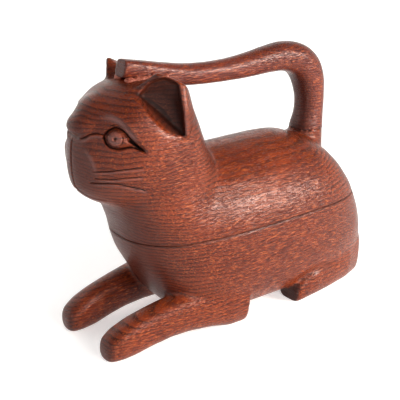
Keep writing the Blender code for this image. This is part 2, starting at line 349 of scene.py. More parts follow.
# %% Fore limbs and haunches
ARM = [  # y, centre x, half width, lowest z, highest z
    (-99.0, 19.8, 4.5, 0.5, 9.0),
    (-96.5, 19.8, 7.5, -1.5, 13.0),
    (-90.0, 20.0, 8.8, -1.9, 17.0),
    (-81.0, 20.6, 8.8, -1.5, 20.8),
    (-70.0, 21.4, 8.9, 0.8, 23.3),
    (-58.0, 22.3, 9.1, 2.4, 25.5),
    (-45.0, 23.5, 9.4, 2.6, 27.5),
    (-30.0, 25.2, 9.8, 1.0, 29.5),
    (-18.0, 26.8, 9.8, -1.5, 31.0),
    (-6.0, 27.6, 9.6, -1.5, 32.0),
]
RIGHT_ARM_SHIFT = 1.8
HAUNCH = [
    (32.5, 28.3, 8.2, -1.5, 9.0),
    (36.0, 28.4, 9.4, -1.5, 14.0),
    (50.0, 27.0, 11.0, -1.5, 24.0),
    (66.0, 24.8, 11.8, -1.5, 30.0),
    (82.0, 22.2, 12.0, -1.5, 33.0),
    (96.0, 18.0, 11.5, -1.5, 34.0),
    (100.0, 16.0, 9.5, -1.5, 32.0),
]
limbs = []
for side in (1, -1):
    shift = RIGHT_ARM_SHIFT if side < 0 else 0.0
    arm = [(y - shift / 2, x + shift, w, low + shift / 2, high + shift) for y, x, w, low, high in ARM]
    limbs.append(limb("arm", arm, 2.5, side))
    limbs.append(limb("haunch", HAUNCH, 3.0, side))
print(f"{len(limbs)} limbs, the right fore limb {RIGHT_ARM_SHIFT} mm higher and further out")

# %% Stub under the tail
STUB = [  # height, radius, y of the middle
    (80.0, 15.0, 64.0),
    (90.0, 12.6, 67.0),
    (96.0, 11.0, 69.0),
    (102.0, 10.6, 69.5),
]
limbs.append(stack("stub", [(z, r, y - r, y, y + r, 2.0, 2.0) for z, r, y in STUB], count=48))

# %% Ear leaves
EAR_CORNERS = [  # centre and radius of a small ball at each corner of the leaf
    ((13.0, -69.0, 147.5), 1.4),
    ((23.8, -61.8, 157.4), 1.2),
    ((27.0, -55.6, 154.8), 1.0),
    ((31.2, -51.0, 151.5), 1.4),
    ((34.6, -51.8, 139.7), 1.4),
    ((33.4, -50.4, 125.6), 1.6),
    ((26.0, -46.0, 147.0), 2.2),
    ((29.5, -45.0, 134.0), 2.6),
    ((12.0, -50.0, 142.0), 3.0),
    ((20.0, -44.0, 126.0), 3.0),
]


def hull_of_balls(name, balls, side):
    """The skin stretched over small balls, on the cat's left (1) or right (-1) side."""
    balls_shape = bmesh.new()
    for centre, radius in balls:
        place = Matrix.Translation((side * centre[0], centre[1], centre[2]))
        bmesh.ops.create_icosphere(balls_shape, subdivisions=3, radius=radius, matrix=place)
    shape = bmesh.new()
    for vertex in balls_shape.verts:
        shape.verts.new(vertex.co)
    balls_shape.free()
    bmesh.ops.convex_hull(shape, input=shape.verts)
    inner = [vertex for vertex in shape.verts if not vertex.link_faces]
    bmesh.ops.delete(shape, geom=inner, context="VERTS")
    return new_piece(name, shape)


# %% Fuse limbs and ears to the trunk
FINE_GRID = 0.8  # small enough for the thin leaves
cat = fused("cat", [trunk] + limbs, FUSE_GRID, rounds=9)
ears = [hull_of_balls("ear_leaf", EAR_CORNERS, side) for side in (1, -1)]
cat = fused("cat", [cat] + ears, FINE_GRID, rounds=3)
print(f"cat with limbs and ears: {len(cat.data.polygons)} faces")

# %% [markdown]
# ### Hollow of the ear
#
# The leaf stands out from the head, and its hollow face looks forward. The gouge went in along one deep
# crease, from the front of the ear down to its lower tip. From the crease the ear's face rises to the
# rim, and on the other side a short slope runs out on the head. The cutter is another skin over balls:
# those of the crease are the smallest, so that it stays crisp.

# %% Hollow out the ears
OUTWARD = np.array((0.738, -0.566, 0.368))  # the way that an eye and an ear's hollow look
EAR_CREASE = [
    (15.5, -66.2, 145.7),
    (20.3, -60.8, 141.5),
    (23.0, -57.7, 138.3),
    (25.7, -55.3, 133.6),
    (28.6, -53.0, 128.9),
    (31.6, -51.3, 125.5),
]
EAR_FACE = [(21.3, -58.0, 146.5), (25.4, -53.5, 141.4)]
EAR_RIM = [(31.6, -52.6, 138.9), (27.8, -52.6, 151.4), (24.3, -57.7, 154.3), (20.2, -62.7, 152.3)]
EAR_SLOPE = [
    (18.4, -69.6, 145.9),
    (25.3, -68.6, 141.0),
    (28.9, -67.3, 136.4),
    (31.8, -64.4, 132.4),
    (33.9, -60.8, 127.9),
]
EAR_OPENING = 16.0  # how far the cutter reaches out past the leaf


def ear_hollow(side):
    balls = [(place, 0.8) for place in EAR_CREASE]
    balls += [(place, 1.5) for place in EAR_FACE]
    balls += [(place, 0.8) for place in EAR_RIM + EAR_SLOPE]
    for place in EAR_RIM + EAR_SLOPE + EAR_CREASE[-1:]:
        balls.append((tuple(np.array(place) + EAR_OPENING * OUTWARD), 0.8))
    return hull_of_balls("ear_hollow", balls, side)


cut(cat, ear_hollow(1), ear_hollow(-1))
cat = fused("cat", [cat], FINE_GRID, rounds=2)
print(f"cat before the knife work: {len(cat.data.polygons)} faces")

# %% [markdown]
# ## Knife work
#
# Eyes, whiskers, mouth and nose are cut into the wood with a knife and a small gouge. Moving the mesh's
# points along their normals does the same, and is quick with numpy. It needs small faces, so the mesh is
# first divided where the knife will go. Each cut is a line with a width and a depth. How dark the cuts and
# hollows are painted, for dark wax and for shade in them, and where highlights are painted on lit edges, is
# also written to the mesh as two attributes. The wood's material later darkens its colour by the one and
# lightens it by the other.

# %% Points and normals of a piece
def points_of(piece):
    flat = np.empty(len(piece.data.vertices) * 3, np.float32)
    piece.data.vertices.foreach_get("co", flat)
    return flat.reshape(-1, 3).astype(float) / MM


def set_points(piece, points):
    piece.data.vertices.foreach_set("co", (points * MM).astype(np.float32).ravel())
    piece.data.update()


def normals_of(piece):
    flat = np.empty(len(piece.data.vertices) * 3, np.float32)
    piece.data.vertex_normals.foreach_get("vector", flat)
    return flat.reshape(-1, 3).astype(float)


def divide(piece, chosen):
    """Halves the edges between the chosen points."""
    shape = bmesh.new()
    shape.from_mesh(piece.data)
    edges = [e for e in shape.edges if chosen[e.verts[0].index] and chosen[e.verts[1].index]]
    bmesh.ops.subdivide_edges(shape, edges=edges, cuts=1, use_grid_fill=True)
    shape.to_mesh(piece.data)
    shape.free()


def noise_at(points, size, offset=(0.0, 0.0, 0.0)):
    """Blender's smooth noise at each point, with bumps of this size in millimetres."""
    return np.array([noise.noise(Vector(point) / size + Vector(offset)) for point in points])


# %% Distance to a drawn line
def distance_to_line(points, line):
    """Each point's distance to a line of straight runs, and how far along it lies, from 0 to 1."""
    line = np.array(line, float)
    lengths = np.linalg.norm(np.diff(line, axis=0), axis=1)
    before = np.concatenate([[0.0], np.cumsum(lengths)])
    nearest = np.full(len(points), 1e9)
    along = np.zeros(len(points))
    for start, end, length, offset in zip(line, line[1:], lengths, before):
        share = np.clip((points - start) @ (end - start) / length**2, 0.0, 1.0)
        distance = np.linalg.norm(points - start - share[:, None] * (end - start), axis=1)
        closer = distance < nearest
        nearest[closer] = distance[closer]
        along[closer] = (offset + share[closer] * length) / before[-1]
    return nearest, along


def smooth_line(corners, steps=6):
    """A smooth curve through the corners (a Catmull-Rom spline)."""
    corners = np.array(corners, float)
    padded = np.vstack([2 * corners[0] - corners[1], corners, 2 * corners[-1] - corners[-2]])
    found = []
    for a, b, c, d in zip(padded, padded[1:], padded[2:], padded[3:]):
        for step in range(steps):
            t = step / steps
            bend = 2 * a - 5 * b + 4 * c - d
            twist = 3 * b - a - 3 * c + d
            found.append(0.5 * (2 * b + (c - a) * t + bend * t**2 + twist * t**3))
    found.append(corners[-1])
    return np.array(found)


def soft_step(value, low, high):
    """0 below low, 1 above high, and a smooth rise between."""
    share = np.clip((value - low) / (high - low), 0.0, 1.0)
    return share * share * (3 - 2 * share)


# %% [markdown]
# ### The plane of an eye
#
# Each eye looks out, forward and a little up. The knife lines of that side of the face are drawn on a
# flat plane that looks the same way, in millimetres from the eye's centre: first to the ear's side,
# then up. The right side of the face is the left one mirrored.

# %% Eye plane
EYE = np.array((21.0, -87.0, 127.0))
TOWARD_EAR = np.array((0.609, 0.793, 0.0))
TOWARD_BROW = np.array((-0.292, 0.224, 0.930))


def mirrored_left(vectors, points):
    """The vectors of the cat's right side turned over to its left."""
    return vectors * np.where(points[:, :1] < 0, (-1.0, 1.0, 1.0), (1.0, 1.0, 1.0))


def on_eye_plane(points, normals):
    """The points on the plane of their own side's eye, and how squarely each one faces it."""
    from_eye = mirrored_left(points, points) - EYE
    flat = np.stack([from_eye @ TOWARD_EAR, from_eye @ TOWARD_BROW], axis=1)
    return flat, mirrored_left(normals, points) @ OUTWARD


# %% Knife lines of the face
UPPER_LID = smooth_line(
    [(-6.8, 2.2), (-3.8, 4.9), (-0.2, 6.1), (2.9, 5.3), (5.8, 2.9), (9.5, -1.4), (15.6, -6.9)]
)
LOWER_LID = smooth_line(
    [(-6.8, 2.0), (-6.4, 0.3), (-5.2, -2.6), (-2.8, -4.9), (1.2, -5.9), (4.6, -5.5)]
    + [(9.0, -4.9), (15.6, -6.9)]
)
SECOND_LID = smooth_line([(-4.2, 6.6), (-0.6, 7.9), (2.8, 7.1), (6.4, 4.6), (9.2, 1.3)])
TEAR_LINE = smooth_line([(-6.8, 2.4), (-10.0, 3.0), (-13.2, 2.5), (-15.5, 1.2), (-19.6, 0.0)])
BROW = smooth_line(
    [(-9.5, 11.6), (-5.5, 12.3), (-1.5, 11.9), (2.4, 10.0), (6.2, 6.6), (9.6, 2.6), (12.6, -1.8)]
)
WHISKERS = [
    smooth_line([(-11.9, -16.1), (-6.8, -16.5), (-0.2, -16.1), (6.2, -15.3), (15.1, -14.5)]),
    smooth_line([(-11.9, -19.7), (-6.8, -20.4), (-0.2, -20.4), (6.2, -19.7), (14.6, -18.9)]),
    smooth_line(
        [(-14.5, -21.9), (-9.9, -22.4), (-3.8, -22.6), (1.3, -23.0)]
        + [(6.2, -24.1), (11.0, -25.2), (16.6, -26.7)]
    ),
]
ALMOND = np.vstack([UPPER_LID, LOWER_LID[::-1]])
# The lip line runs down the middle of the muzzle and back along its lower edge, in the cat's own x, y, z
LIP = smooth_line(
    [
        (0.0, -99.0, 124.6),
        (0.0, -101.0, 115.0),
        (0.0, -101.0, 106.0),
        (0.0, -100.4, 100.0),
        (1.0, -98.9, 97.2),
        (3.6, -96.8, 95.2),
        (8.0, -93.5, 92.9),
        (13.0, -90.5, 92.0),
        (17.0, -88.0, 92.0),
    ]
)


# %% Where a cut lies on the skin
def distance_on_skin(points, normals, line):
    """Distance to a line that lies near the surface, leaving out what is along the normal."""
    nearest = np.full(len(points), 1e9)
    along = np.zeros(len(points))
    for number, (start, end) in enumerate(zip(line, line[1:])):
        run = end - start
        share = np.clip((points - start) @ run / (run @ run), 0.0, 1.0)
        away = points - start - share[:, None] * run
        through = (away * normals).sum(axis=1)
        distance = np.linalg.norm(away - through[:, None] * normals, axis=1)
        distance = np.where(np.abs(through) < 4.0, distance, 1e9)
        closer = distance < nearest
        nearest[closer] = distance[closer]
        along[closer] = (number + share[closer]) / (len(line) - 1)
    return nearest, along


def inside(points, outline):
    """Which points lie inside a closed outline, by counting the edges above each one."""
    odd = np.zeros(len(points), bool)
    for start, end in zip(outline, np.roll(outline, -1, axis=0)):
        spans = (start[0] > points[:, 0]) != (end[0] > points[:, 0])
        with np.errstate(divide="ignore", invalid="ignore"):
            crossing = start[1] + (points[:, 0] - start[0]) / (end[0] - start[0]) * (end[1] - start[1])
        odd ^= spans & (points[:, 1] < crossing)
    return odd


# %% Points near the knife
def face_region(points):
    """The points of the face, below the crown and before the ears."""
    return (points[:, 1] < -62) & (points[:, 2] > 88) & (points[:, 2] < 146) & (np.abs(points[:, 0]) < 40)


def near_knife(points, normals, reach):
    """Which points lie within reach of a cut or in an eye."""
    flat, facing = on_eye_plane(points, normals)
    near = np.zeros(len(points), bool)
    for line in [UPPER_LID, LOWER_LID, SECOND_LID, TEAR_LINE, *WHISKERS]:
        near |= distance_to_line(flat, line)[0] < reach
    near |= inside(flat, ALMOND)
    near &= (facing > 0.15) & face_region(points)
    skin = mirrored_left(points, points), mirrored_left(normals, points)
    return near | (distance_on_skin(*skin, LIP)[0] < reach)


# %% Roll the ear's slope into the head
mirrored = points_of(cat)
mirrored[:, 0] = np.abs(mirrored[:, 0])
from_slope, _ = distance_to_line(mirrored, EAR_SLOPE)
from_crease, _ = distance_to_line(mirrored, EAR_CREASE)
from_rim, _ = distance_to_line(mirrored, EAR_RIM)
roll = 1.0 - soft_step(from_slope, 2.0, 6.5)
roll *= soft_step(from_crease, 1.5, 4.5) * soft_step(from_rim, 3.0, 6.0)
rolled = cat.vertex_groups.new(name="rolled")
for index in np.flatnonzero(roll > 0.01):
    rolled.add([int(index)], float(roll[index]), "REPLACE")
modified(cat, "SMOOTH", factor=0.5, iterations=60, vertex_group="rolled")
cat.vertex_groups.clear()
print(f"{np.count_nonzero(roll > 0.01)} points rolled over beside the ears")

# %% Smaller faces where the knife goes
for reach in (2.6, 1.4):  # millimetres from a cut
    divide(cat, near_knife(points_of(cat), normals_of(cat), reach))
divide(cat, np.abs(points_of(cat)[:, 2] - SEAM) < 1.6)
modified(cat, "SMOOTH", factor=0.5, iterations=4)
print(f"cat ready for the knife: {len(cat.data.polygons)} faces")

# %% [markdown]
# ### How a cut looks from the side
#
# A knife line is a narrow V with soft shoulders, deepest in its middle and running out at its ends. The
# eyeball is a low lens that stands up between its lids, with a flat round iris and a drilled pupil. The
# brow is a bevel that drops from the forehead to the lid.

# %% Cuts
def groove(distance, half_width, depth):
    """The depth of a cut with soft shoulders."""
    return depth * np.exp(-((distance / half_width) ** 2))


def run_out(along, start=0.12, end=0.12):
    """Fades a cut at its two ends."""
    return soft_step(along, 0.0, start) * soft_step(1.0 - along, 0.0, end)


points = points_of(cat)
normals = normals_of(cat)
flat, facing = on_eye_plane(points, normals)
seen = soft_step(facing, 0.1, 0.35) * face_region(points)
rise = np.zeros(len(points))
crease = np.zeros(len(points))
painted_highlight = np.zeros(len(points))


def carve(depth, darkness=1.0):
    """Lowers the surface by this depth, and notes for the material how dark to paint the cut: dark wax and
    painted shade.
    """
    rise[:] -= depth
    crease[:] = np.maximum(crease, np.clip(depth * darkness, 0.0, 1.0) ** 1.7)


def stroke(distance, half_width):
    """1 on a line and nothing beside it."""
    return np.exp(-((distance / half_width) ** 2))


def paint_highlight(amount):
    """Paints a highlight: a paler, greyer colour where a raised edge or facet catches the light."""
    painted_highlight[:] = np.maximum(painted_highlight, amount)


def darken(amount):
    """Darkens a place: painted shade where light does not reach, and the dark line of the saw cut."""
    crease[:] = np.maximum(crease, amount)


# %% Brow and eye socket
brow_distance, brow_along = distance_to_line(flat, BROW)
brow_area = np.vstack([BROW, (40.0, -30.0), (-40.0, -30.0), (-40.0, BROW[0][1])])
below_brow = np.where(inside(flat, brow_area), brow_distance, -brow_distance)
from_eye = np.linalg.norm((flat - np.array((1.0, -0.5))) / np.array((1.25, 1.0)), axis=1)
socket = soft_step(below_brow, -1.2, 2.8) * (1.0 - soft_step(from_eye, 7.0, 16.0))
carve(1.5 * socket * seen, darkness=0.0)
rise += 0.5 * stroke(brow_distance, 2.6) * (below_brow < 0) * run_out(brow_along, 0.3, 0.3) * seen
# A painted sheen on the bevel below the brow
paint_highlight(0.75 * seen * stroke(below_brow - 1.2, 1.5) * run_out(brow_along, 0.35, 0.15))

# %% Eyeball, lids and pupil
in_almond = inside(flat, ALMOND)
lid_distance, lid_along = distance_to_line(flat, UPPER_LID)
low_distance, low_along = distance_to_line(flat, LOWER_LID)
to_edge = np.minimum(lid_distance, low_distance)
lens = in_almond * seen
carve(lens * groove(to_edge, 1.9, 1.3), darkness=0.35)
rise += lens * 0.9 * soft_step(to_edge, 0.6, 4.6)
from_iris = np.linalg.norm(flat - np.array((0.0, -0.1)), axis=1)
carve(seen * groove(from_iris - 4.1, 0.35, 0.28), darkness=1.4)
# A painted sheen on the flat iris
paint_highlight(0.55 * seen * (1.0 - soft_step(from_iris, 3.4, 4.1)))
carve(seen * groove(from_iris, 0.75, 1.5), darkness=1.0)
upper_ends = soft_step(lid_along, -0.02, 0.10) * soft_step(1 - lid_along, -0.02, 0.12)
lower_ends = soft_step(low_along, -0.02, 0.05) * soft_step(1 - low_along, -0.02, 0.10)
carve(seen * groove(lid_distance, 0.40, 1.2) * upper_ends, darkness=0.9)
carve(seen * groove(low_distance, 0.36, 1.0) * lower_ends, darkness=0.95)

# %% Corner of the eye and fold of the lid
WEDGE = smooth_line([(6.6, 0.2), (9.4, -2.4), (12.4, -4.7), (16.1, -6.9)])
wedge_distance, wedge_along = distance_to_line(flat, WEDGE)
wedge_ends = soft_step(wedge_along, 0.0, 0.25) * soft_step(1 - wedge_along, -0.05, 0.25)
carve(seen * groove(wedge_distance, 0.85, 1.5) * wedge_ends)
second_distance, second_along = distance_to_line(flat, SECOND_LID)
carve(seen * groove(second_distance, 0.4, 0.45) * run_out(second_along, 0.25, 0.25), darkness=1.2)
print(f"eye: {np.count_nonzero(lens)} points in the two almonds, deepest cut {-rise.min():.2f} mm")

# %% Tear line and whiskers
tear_distance, tear_along = distance_to_line(flat, TEAR_LINE)
carve(seen * groove(tear_distance, 0.45, 0.9) * run_out(tear_along, 0.03, 0.15), darkness=0.9)
lip_of_tear = distance_to_line(flat - np.array((0.0, -1.6)), TEAR_LINE)[0]
rise += seen * 0.35 * stroke(lip_of_tear, 1.2) * run_out(tear_along, 0.1, 0.3)
# A painted highlight on the lit lip below the tear line
paint_highlight(seen * 0.5 * stroke(lip_of_tear, 0.7) * run_out(tear_along, 0.05, 0.3))
for line, depth in zip(WHISKERS, (0.62, 0.5, 0.68)):
    distance, along = distance_to_line(flat, line)
    carve(seen * groove(distance, 0.34, depth) * run_out(along, 0.05, 0.10), darkness=1.9)
    below_line = distance_to_line(flat + np.array((0.0, 0.9)), line)[0]
    # A painted highlight on the lit lower edge of each whisker
    paint_highlight(seen * 0.5 * stroke(below_line, 0.5) * run_out(along, 0.2, 0.05))
print(f"{len(WHISKERS)} whiskers on each side")

# %% Edge of the muzzle's front
MUZZLE_EDGE = smooth_line([(-17.0, -4.5), (-14.0, -7.5), (-11.6, -11.6), (-10.2, -17.0), (-10.6, -22.0)])
edge_distance, edge_along = distance_to_line(flat, MUZZLE_EDGE)
rise += seen * 0.75 * stroke(edge_distance, 2.6) * run_out(edge_along, 0.3, 0.35)
# A painted highlight along the edge of the muzzle's front
paint_highlight(seen * 0.6 * stroke(edge_distance, 0.9) * run_out(edge_along, 0.3, 0.5))

# %% Nose, lip and chin
ahead = soft_step(-normals[:, 1], 0.1, 0.4) * (points[:, 1] < -84)
lip_distance, lip_along = distance_on_skin(mirrored_left(points, points), mirrored_left(normals, points), LIP)
lip_ends = soft_step(lip_along, -0.02, 0.04) * soft_step(1 - lip_along, 0.0, 0.2)
carve(groove(lip_distance, 0.48, 1.0) * lip_ends, darkness=1.1)
NOTCH = smooth_line([(0.0, 126.2), (3.5, 126.4), (7.0, 127.4), (10.0, 129.0)])
sideways = np.stack([np.abs(points[:, 0]), points[:, 2]], axis=1)
notch_distance, notch_along = distance_to_line(sideways, NOTCH)
carve(ahead * groove(notch_distance, 1.9, 1.9) * soft_step(1 - notch_along, 0.0, 0.8), darkness=0.25)

# %% [markdown]
# ### Dark places
#
# Shade is painted into the colour where the light does not reach: in the hollows of the ears and on the
# slopes beside them, in the groove that parts the haunch from the belly, and on the front of the hind feet.
# The saw cut, whose edges have been eased with sandpaper, is a dark line.

# %% Painted shade in the ears
# The hollow's edge on the eye plane: from its front corner along the rim, and back along the crease
EAR_EDGE = [(11.0, 23.4), (15.2, 28.2), (18.8, 31.2), (21.9, 32.5), (25.5, 32.5), (29.1, 31.6)]
EAR_EDGE += [(32.0, 30.0), (33.6, 27.6), (34.5, 22.6), (35.1, 15.4), (35.4, 7.7)]
EAR_FOLD = [(35.6, 3.0), (31.6, 7.1), (28.0, 11.8), (24.4, 16.4), (20.3, 19.5), (16.7, 21.6)]
EAR_OUTLINE = np.array(EAR_EDGE + EAR_FOLD)
EAR_FOLD = np.array(EAR_FOLD + EAR_EDGE[:1])
EAR_BACK_RIM = np.array([(35.4, 26.0), (36.1, 20.0), (36.4, 10.0), (36.6, 4.0)])
near_ear = (points[:, 2] > 118) & (facing > -0.1)
to_outline, _ = distance_to_line(flat, np.vstack([EAR_OUTLINE, EAR_OUTLINE[:1]]))
to_fold, _ = distance_to_line(flat, EAR_FOLD)
# Painted shade in the ear's hollow, and darker still along its crease
darken(0.64 * inside(flat, EAR_OUTLINE) * soft_step(to_outline, 0.0, 1.2) * near_ear)
darken(0.9 * stroke(to_fold, 0.9) * near_ear)
# Painted shadow of the ear's leaf on the slope beside it, darkest at the crease
slope_edge, _ = on_eye_plane(np.array(EAR_SLOPE), np.array(EAR_SLOPE))
to_slope_edge, _ = distance_to_line(flat, slope_edge)
on_slope = inside(flat, np.vstack([EAR_FOLD, slope_edge])) * near_ear
darken(0.95 * on_slope * (to_slope_edge / (to_fold + to_slope_edge)) ** 0.35)
# A painted highlight on the lit back rim of each ear
to_rim, _ = distance_to_line(flat, EAR_BACK_RIM)
paint_highlight(0.5 * stroke(to_rim, 0.6) * near_ear)
print(f"{np.count_nonzero(on_slope)} points on the slopes beside the ears")

# %% Groove above the hind foot
HAUNCH_LINE = smooth_line([(33.0, 13.0), (46.6, 18.8), (65.0, 17.3), (77.0, 13.5)])  # y, z
haunch_distance, haunch_along = distance_to_line(points[:, 1:], HAUNCH_LINE)
on_side = soft_step(np.abs(normals[:, 0]), 0.4, 0.7) * (np.abs(points[:, 0]) > 28.0)
# The groove is also painted a little darker, for the shade in it
carve(on_side * groove(haunch_distance, 2.8, 1.3) * run_out(haunch_along, 0.1, 0.4), darkness=0.28)
# Painted shade on the fronts of the hind feet, which face away from the light
foot_front = soft_step(-normals[:, 1], 0.4, 0.8) * (points[:, 2] < 17.0) * (points[:, 1] > 25.0)
darken(0.5 * foot_front)

# %% Eased edges of the saw cut
from_seam = np.abs(points[:, 2] - SEAM)
carve(groove(from_seam, 0.6, 0.42), darkness=0.0)
darken(0.95 * stroke(from_seam, 0.6))

# %% [markdown]
# ### The hand in the surface
#
# A hand-carved and sanded surface is never quite even. A slow wave a tenth of a millimetre high, from
# Blender's own noise, breaks up the highlights as the carver's tools did.

# %% Uneven surface
TOOL_WAVE = 11.0  # from one tool stroke to the next
TOOL_HEIGHT = 0.13
wave = noise_at(points, TOOL_WAVE)
rise += TOOL_HEIGHT * wave * (1.0 - np.clip(crease, 0.0, 1.0))
set_points(cat, points + rise[:, None] * normals)
for name, values in (("crease", crease), ("painted_highlight", painted_highlight)):
    stored = cat.data.attributes.new(name, "FLOAT", "POINT")
    stored.data.foreach_set("value", values.astype(np.float32))
print(f"deepest cut {-rise.min():.2f} mm, highest rise {rise.max():.2f} mm")

# %% [markdown]
# ## Saw the block and hollow it
#
# The finished cat is sawn level in two, as the real one was, and both halves are hollowed. The Boolean
# modifier does the sawing. Its Manifold solver is quick on closed meshes like these and keeps the two
# attributes written above.

# %% Hollows
BOX_HOLLOW = [  # height, half width, front y, rear y
    (16.0, 24.0, -34.0, 66.0),
    (20.0, 28.0, -42.0, 72.0),
    (45.0, 31.0, -52.0, 75.0),
    (67.0, 31.0, -54.0, 75.0),
]
LID_HOLLOW = [
    (57.0, 31.0, -54.0, 75.0),
    (66.0, 30.5, -53.0, 73.0),
    (74.0, 28.0, -48.0, 68.0),
    (83.0, 23.0, -40.0, 60.0),
    (87.0, 17.0, -32.0, 52.0),
]


def hollow(name, outlines):
    return outlined(name, outlines, BODY_WIDEST, 2.6, 3.0)


print(f"box hollow {BOX_HOLLOW[2][3] - BOX_HOLLOW[2][2]:.0f} mm long and {2 * BOX_HOLLOW[2][1]:.0f} mm wide")

# %% Holes for the pegs and dowels
HOLE_CLEARANCE = 0.3


def hole_for(node, low, high):
    """A drill for the frame's peg or dowel of this name."""
    corner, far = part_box(node)
    radius = (far.x - corner.x) / 2 / MM + HOLE_CLEARANCE
    return rod("drill", (corner.y + far.y) / 2 / MM, low, high, radius)


def peg_holes():
    return [hole_for(node, bottom_of(node) - 1.0, top_of(node) + 1.0) for node in ("peg_front", "peg_rear")]


def dowel_holes():
    return [
        hole_for(node, bottom_of(node) - 0.5, top_of(node) + 0.5)
        for node in ("tail_rear_dowel", "tail_front_dowel")
    ]


# %% [markdown]
# ## Tail
#
# The tail rises from the rump, turns forward and runs to the crown, where its blunt front end was bedded
# in filler. It is a loft along a curve in the cat's middle plane, thick at the bend and slimmer over the
# back, then fused on a fine grid so that its front edges round over.

# %% Tail shape
TAIL = [  # y, z, radius
    (-69.0, 157.6, 4.9),
    (-58.0, 154.9, 5.4),
    (-44.0, 151.4, 5.9),
    (-27.0, 148.3, 6.1),
    (-11.0, 147.0, 6.2),
    (5.0, 146.8, 6.5),
    (20.0, 147.5, 7.2),
    (34.0, 148.8, 8.0),
    (47.0, 149.0, 8.9),
    (58.0, 146.0, 9.8),
    (65.5, 139.5, 10.2),
    (69.5, 131.0, 9.8),
    (71.4, 120.0, 9.0),
    (71.1, 110.0, 9.1),
    (69.5, TAIL_FOOT, 10.3),
]
TAIL_ROUNDNESS = 2.3  # power of its section over the rump
TAIL_SQUARING = 1.2  # added toward its front end
TAIL_SIDES = 48


def tail_form(name, extra=0.0, steps=5, below=0.0):
    """The tail. extra makes it thicker all round, and below carries its foot further down."""
    path = smooth_line(TAIL, steps)
    direction = np.gradient(path[:, :2], axis=0)
    direction /= np.linalg.norm(direction, axis=1)[:, None]
    direction[-1] = (0.0, -1.0)
    if extra:
        path[0, :2] -= direction[0] * extra
    if below:
        path = np.vstack([path, path[-1] - np.array((0.0, below, 0.0))])
        direction = np.vstack([direction, direction[-1]])
    rings = []
    for (y, z, radius), (along_y, along_z) in zip(path, direction):
        ring = []
        power = TAIL_ROUNDNESS + TAIL_SQUARING * float(soft_step(-y, 20.0, 60.0))
        for step in range(TAIL_SIDES):
            across, up = rounded(2 * math.pi * step / TAIL_SIDES, power)
            out = (radius + extra) * up
            ring.append(((radius + extra) * across, y - out * along_z, z + out * along_y))
        rings.append(ring)
    return loft(name, rings)


# %% Saw, hollow and drill
def half_of_cat(name, low, high):
    half = in_scene(name, cat.data.copy())
    return cut(half, block("saw", (-60, -130, low), (60, 130, high)), operation="INTERSECT")


base = half_of_cat("carved_base", 0.0, SEAM_BOTTOM)
cut(base, hollow("box_hollow", BOX_HOLLOW), *peg_holes())
lid = half_of_cat("carved_lid", SEAM_TOP, 200.0)
cut(lid, hollow("lid_hollow", LID_HOLLOW), *peg_holes())
cut(lid, block("stub_top", (-20, 55, STUB_TOP), (20, 90, 130.0)), tail_form("tail_seat", extra=TOUCH_GAP))
cut(lid, *dowel_holes())
bpy.data.objects.remove(cat, do_unlink=True)
print(f"base {len(base.data.polygons)} faces, lid {len(lid.data.polygons)} faces")

# %% Finish the tail
TAIL_GRID = 0.7
tail = fused("carved_tail", [tail_form("tail", below=1.0)], TAIL_GRID, rounds=5)
points = points_of(tail)
normals = normals_of(tail)
wave = noise_at(points, TOOL_WAVE, (7.0, 3.0, 1.0))
set_points(tail, points + (TOOL_HEIGHT * wave)[:, None] * normals)
for name in ("crease", "painted_highlight"):
    tail.data.attributes.new(name, "FLOAT", "POINT")
# The dark crack between the tail and the filler, and the dirt in the joint on the rump
FILLER_FRONT = -67.5  # y
uneven = noise_at(points * (0.0, 1.0, 0.0), 3.0)
crack_height = 152.8 - 0.05 * (points[:, 1] - FILLER_FRONT) + 0.8 * uneven
crack = stroke(points[:, 2] - crack_height, 0.45) * (points[:, 1] < -42.0) * (np.abs(points[:, 0]) > 3.0)
darkness = stroke(points[:, 2] - TAIL_FOOT, 0.6) * (points[:, 1] > 50.0)
soiled = np.maximum(0.9 * crack, 0.8 * darkness).astype(np.float32)
tail.data.attributes["crease"].data.foreach_set("value", soiled)
cut(tail, block("foot", (-20, 50, 80), (20, 90, TAIL_FOOT)), *dowel_holes())
print(f"tail {len(tail.data.polygons)} faces")

# %% [markdown]
# ### Filler on the crown
#
# The tail's front end did not quite meet the crown, and the gap was packed with a paste of glue and
# sawdust, which dried pinkish and lumpy. It is two rows of small balls of uneven size, one on each side
# of the tail, fused, roughened with noise, and cut to the faces of the lid and the tail that it fills
# between. A few crumbs of glue that were squeezed out of the rear joint belong to the same piece.

# %% Filler pad
FILLER_LENGTH = 24.0
ROW = 22  # balls in the row on each side
lumps = []
for number in range(2 * ROW):
    side = 1 if number % 2 else -1
    y = FILLER_FRONT + FILLER_LENGTH * (number // 2) / (ROW - 1)
    uneven = noise.noise(Vector((number * 3.7, 1.3, 0.4)))
    place = (side * (4.6 + 0.8 * uneven), y, 150.6 - 0.04 * (y - FILLER_FRONT) + 0.9 * uneven)
    lumps.append(ball("lump", place, (2.5 + uneven, 1.7, 2.3 + 0.9 * uneven)))
CRUMBS = 9
foot_y = TAIL[-1][0]
foot_radius = TAIL[-1][2] - 0.1
for number in range(CRUMBS):
    angle = math.radians(-165.0 + 18.0 * number)
    uneven = noise.noise(Vector((number * 2.9, 5.1, 0.7)))
    x = foot_radius * math.cos(angle)
    y = foot_y + foot_radius * math.sin(angle)
    radii = (1.1 + uneven, 1.1 + uneven, 0.8 + 0.6 * uneven)
    lumps.append(ball("lump", (x, y, TAIL_FOOT + 0.3 * uneven), radii))
FILLER_GRID = 0.5
filler = fused("crown_filler", lumps, FILLER_GRID, rounds=3)
points = points_of(filler)
rough = noise_at(points, 1.6)
set_points(filler, points + (0.35 * rough)[:, None] * normals_of(filler))
cut(filler, in_scene("lid_copy", lid.data.copy()), tail_form("tail_bed"))
print(f"filler {len(filler.data.polygons)} faces")

